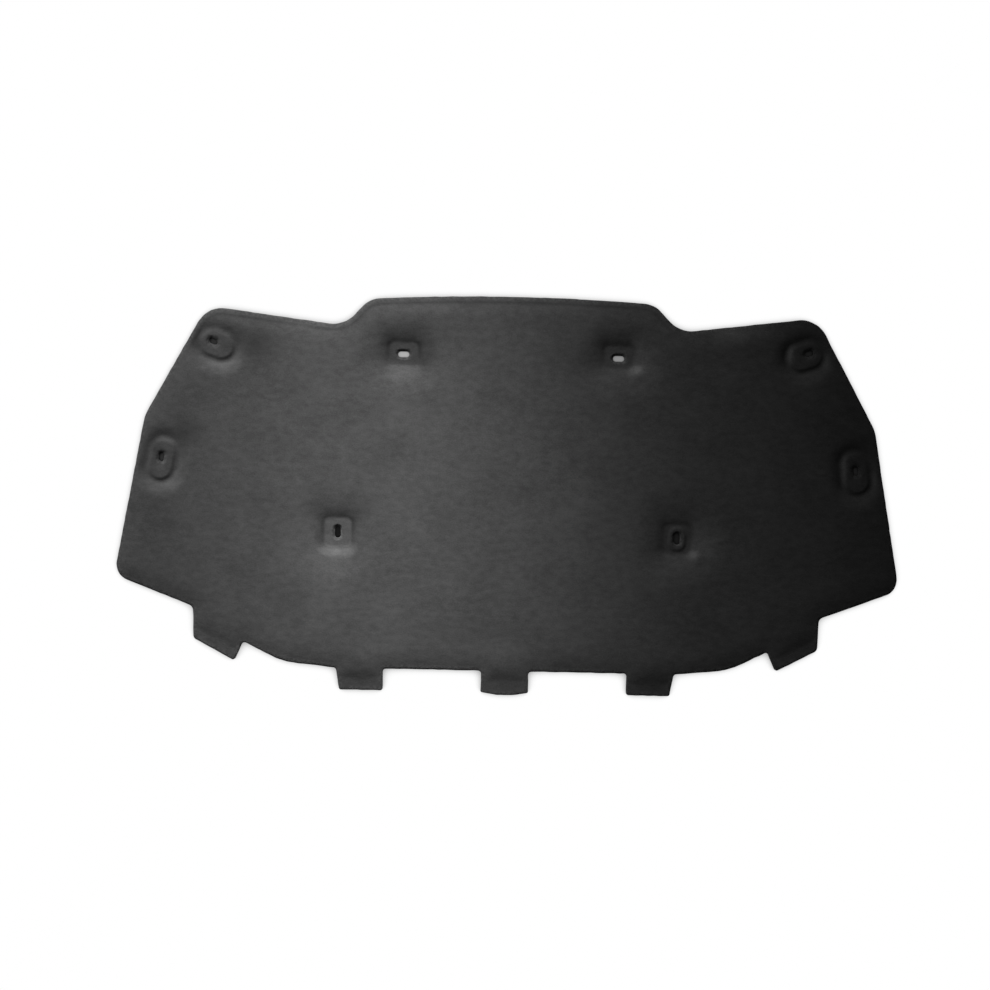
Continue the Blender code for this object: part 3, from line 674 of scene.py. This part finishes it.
def needledFelt():
    # Needled polyester felt, hot pressed: black-grey, without gloss, with a dry bloom of loose fibre
    # ends that shows as fine mottling. Near the cut edge the fibres are torn and the tone is uneven.
    material = bpy.data.materials.new("needledFelt")
    material.use_nodes = True
    tree = material.node_tree
    tree.nodes.clear()
    output = addNode(tree, "ShaderNodeOutputMaterial", {})
    place = addNode(tree, "ShaderNodeTexCoord", {}).outputs["Object"]
    grain = addNode(tree, "ShaderNodeMapping", {
        "Scale": (feltFinish["grainRun"], 1.0, 1.0), "Rotation": (0.0, 0.0, feltFinish["grainTurn"]),
    }, {"Vector": place}).outputs["Vector"]

    # Patterns. A noise's scale is how many of its lumps go into a metre
    clumps = addNode(tree, "ShaderNodeTexNoise", {
        "Scale": 1000 / feltFinish["clump"], "Detail": 3.0, "Roughness": 0.6,
    }, {"Vector": grain}).outputs["Fac"]
    fibres = addNode(tree, "ShaderNodeTexNoise", {
        "Scale": 1000 / feltFinish["fibre"], "Detail": 2.0, "Roughness": 0.65,
    }, {"Vector": grain}).outputs["Fac"]
    patches = addNode(tree, "ShaderNodeTexNoise", {
        "Scale": 1000 / feltFinish["patch"], "Detail": 2.0,
    }, {"Vector": place}).outputs["Fac"]
    tufts = addNode(tree, "ShaderNodeTexNoise", {
        "Scale": 1000 / feltFinish["torn"], "Detail": 3.0, "Roughness": 0.7,
    }, {"Vector": place}).outputs["Fac"]
    nearEdge = addNode(tree, "ShaderNodeAttribute", {"attribute_name": "nearEdge"}).outputs["Fac"]
    paintedShadeAndHighlight = addNode(tree, "ShaderNodeAttribute", {"attribute_name": "paintedShadeAndHighlight"}).outputs["Fac"]

    # Tone: clumps, fibres and patches together, and the torn pattern instead near the edge
    fibreTone = addNode(tree, "ShaderNodeMath", {
        "operation": "MULTIPLY", 1: feltFinish["fibreShare"],
    }, {0: fibres}).outputs[0]
    fineTone = addNode(tree, "ShaderNodeMath", {
        "operation": "MULTIPLY_ADD", 1: feltFinish["clumpShare"],
    }, {0: clumps, 2: fibreTone}).outputs[0]
    openTone = addNode(tree, "ShaderNodeMath", {
        "operation": "MULTIPLY_ADD", 1: feltFinish["patchShare"],
    }, {0: patches, 2: fineTone}).outputs[0]
    torn = addNode(tree, "ShaderNodeMath", {
        "operation": "MULTIPLY_ADD", 1: feltFinish["tornGain"], 2: feltFinish["tornDrop"],
    }, {0: tufts}).outputs[0]
    tone = addNode(tree, "ShaderNodeMix", {"data_type": "FLOAT"}, {
        0: nearEdge, 2: openTone, 3: torn,
    }).outputs[0]
    ramp = addNode(tree, "ShaderNodeValToRGB", {}, {"Fac": tone})
    darkEnd, lightEnd = ramp.color_ramp.elements
    darkEnd.position, lightEnd.position = feltFinish["darkUpTo"], feltFinish["lightFrom"]
    darkEnd.color, lightEnd.color = linearColour(feltFinish["dark"]), linearColour(feltFinish["light"])

    # Painted shade and highlights: the colour is scaled down where shade is painted and up where it is under
    # nought
    paintedShadeScale = addNode(tree, "ShaderNodeMath", {"operation": "SUBTRACT", 0: 1.0}, {1: paintedShadeAndHighlight}).outputs[0]
    colour = addNode(tree, "ShaderNodeVectorMath", {"operation": "SCALE"}, {
        0: ramp.outputs["Color"], "Scale": paintedShadeScale,
    }).outputs[0]

    # Relief: clumps and fibres, and the torn tufts on top of them near the edge
    openRelief = addNode(tree, "ShaderNodeMath", {
        "operation": "MULTIPLY_ADD", 1: feltFinish["reliefFibres"],
    }, {0: fibres, 2: clumps}).outputs[0]
    relief = addNode(tree, "ShaderNodeMath", {
        "operation": "MULTIPLY_ADD",
    }, {0: torn, 1: nearEdge, 2: openRelief}).outputs[0]
    bump = addNode(tree, "ShaderNodeBump", {
        "Strength": feltFinish["bumpStrength"], "Distance": feltFinish["bumpDepth"] * mm,
    }, {"Height": relief}).outputs["Normal"]

    shader = addNode(tree, "ShaderNodeBsdfPrincipled", {
        "Roughness": feltFinish["roughness"], "IOR": feltFinish["ior"],
        "Specular IOR Level": feltFinish["specular"],
        "Sheen Weight": feltFinish["sheen"], "Sheen Roughness": feltFinish["sheenRoughness"],
    }, {"Base Color": colour, "Normal": bump})
    tree.links.new(shader.outputs["BSDF"], output.inputs["Surface"])
    return material


padObject = bpy.data.objects.new("feltPad", feltMesh())
bpy.context.scene.collection.objects.link(padObject)
padObject.data.materials.append(needledFelt())
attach(padObject, "root")
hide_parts("insulation_pad")
print("felt pressed:", len(padObject.data.polygons), "faces")


# Floor: a pale plain one, far larger than the pad

floorLook = {
    "size": 30.0,                # m
    "sink": 0.0004,              # m, how far it lies below the pad's back, so that they don't touch
    "colour": "#e6e6e6",
    "shadowReach": 0.05,         # m, how far the shade at the pad's foot spreads
    "shadowSamples": 16,
    "openAbove": 0.8,            # the board counts as open where more than this share of its sky is
    "patch": 12.0,               # mm, half the side of the patch of painted shade on the board that shows through a slot
    "patchRise": 0.0002,         # m, how far it lies above the rest
    "throughSlot": {             # painted shade: how bright the board is painted there, seen through the slot in the pad's shade
        "upperRight": 0.26, "upperLeft": 0.43, "lower": 0.011, "rightSeat": 0.02, "leftSeat": 0.06,
    },
}


def paleFloor():
    # Matt white board. The lens sees it white but for the shade at the pad's foot and in the slots
    material = bpy.data.materials.new("matBoard")
    material.use_nodes = True
    tree = material.node_tree
    tree.nodes.clear()
    output = addNode(tree, "ShaderNodeOutputMaterial", {})
    board = addNode(tree, "ShaderNodeBsdfDiffuse", {"Color": linearColour(floorLook["colour"])})
    shade = addNode(tree, "ShaderNodeAmbientOcclusion", {
        "Distance": floorLook["shadowReach"], "samples": floorLook["shadowSamples"],
    }).outputs["AO"]
    openShare = addNode(tree, "ShaderNodeMapRange", {
        "From Min": 0.0, "From Max": floorLook["openAbove"], "To Min": 0.0, "To Max": 1.0,
    }, {"Value": shade}).outputs["Result"]
    seenShade = addNode(tree, "ShaderNodeAttribute", {"attribute_name": "seenShade"}).outputs["Fac"]
    lit = addNode(tree, "ShaderNodeMath", {"operation": "MULTIPLY"}, {0: openShare, 1: seenShade}).outputs[0]
    white = addNode(tree, "ShaderNodeEmission", {"Color": (1.0, 1.0, 1.0, 1.0)}, {"Strength": lit})
    path = addNode(tree, "ShaderNodeLightPath", {}).outputs
    straight = addNode(tree, "ShaderNodeMath", {"operation": "MAXIMUM"}, {
        0: path["Is Camera Ray"], 1: path["Is Glossy Ray"],
    }).outputs[0]
    seen = addNode(tree, "ShaderNodeMath", {"operation": "MAXIMUM"}, {
        0: straight, 1: path["Is Transmission Ray"],
    }).outputs[0]
    both = addNode(tree, "ShaderNodeMixShader", {}, {
        0: seen, 1: board.outputs["BSDF"], 2: white.outputs["Emission"],
    })
    tree.links.new(both.outputs["Shader"], output.inputs["Surface"])
    return material


# One large square and a small one under each slot, each given by its centre, half its side and its
# height. The small ones carry the painted shade of the board seen through the slots
through = floorLook["throughSlot"]
slotShades = [through["upperRight"], through["upperLeft"], through["lower"], through["lower"]]
slotShades += [through["rightSeat"], through["leftSeat"]] * 2
squares = [(0.0, 0.0, floorLook["size"] / 2, 0.0)]
squares += [(x * mm, y * mm, floorLook["patch"] * mm, floorLook["patchRise"]) for x, y in slotCentres]
signs = ((-1, -1), (1, -1), (1, 1), (-1, 1))
floorPoints = [(x + i * side, y + j * side, z) for x, y, side, z in squares for i, j in signs]
floorMesh = bpy.data.meshes.new("floor")
floorMesh.from_pydata(floorPoints, [], [range(4 * k, 4 * k + 4) for k in range(len(squares))])
seenShade = np.repeat([1.0, *slotShades], 4)
floorMesh.attributes.new("seenShade", "FLOAT", "POINT").data.foreach_set("value", seenShade)
floorMesh.materials.append(paleFloor())
floorObject = bpy.data.objects.new("floor", floorMesh)
floorObject.location.z = -floorLook["sink"]
bpy.context.scene.collection.objects.link(floorObject)
print("floor laid")

# Light: two soft lamps from the raised edge's side and from the left, whose pools fade toward the
# right end, and a little light from all round

lamps = {
    "keyLamp": {
        "from": (-0.2, 2.4, 1.4), "aim": (-0.184, -0.198, 0.014),   # m
        "halfCone": 7.02,        # degrees
        "power": 540.0,          # W
        "radius": 0.2,           # m
    },
    "sideLamp": {
        "from": (-1.3, 2.2, 1.2), "aim": (-0.788, 0.672, 0.014),
        "halfCone": 26.9,
        "power": 452.0,
        "radius": 0.2,
    },
}
roomLight = 0.037

for name, lamp in lamps.items():
    light = bpy.data.lights.new(name, "SPOT")
    light.energy = lamp["power"]
    light.spot_size = math.radians(2 * lamp["halfCone"])
    light.spot_blend = 1.0
    light.shadow_soft_size = lamp["radius"]
    lampObject = bpy.data.objects.new(name, light)
    lampObject.location = lamp["from"]
    toward = Vector(lamp["aim"]) - Vector(lamp["from"])
    lampObject.rotation_euler = toward.to_track_quat("-Z", "Y").to_euler()
    bpy.context.scene.collection.objects.link(lampObject)

# The room gives its weak light, and the lens sees it white
world = bpy.data.worlds.new("room")
world.use_nodes = True
bpy.context.scene.world = world
roomTree = world.node_tree
roomTree.nodes.clear()
white = (1.0, 1.0, 1.0, 1.0)
room = addNode(roomTree, "ShaderNodeBackground", {"Color": white, "Strength": roomLight})
seenRoom = addNode(roomTree, "ShaderNodeBackground", {"Color": white, "Strength": 1.0})
rays = addNode(roomTree, "ShaderNodeLightPath", {})
bothRooms = addNode(roomTree, "ShaderNodeMixShader", {}, {
    0: rays.outputs["Is Camera Ray"], 1: room.outputs["Background"], 2: seenRoom.outputs["Background"],
})
addNode(roomTree, "ShaderNodeOutputWorld", {}, {"Surface": bothRooms.outputs["Shader"]})
print("lights placed")

bpy.context.scene.view_settings.view_transform = "Standard"

print("scene ready")
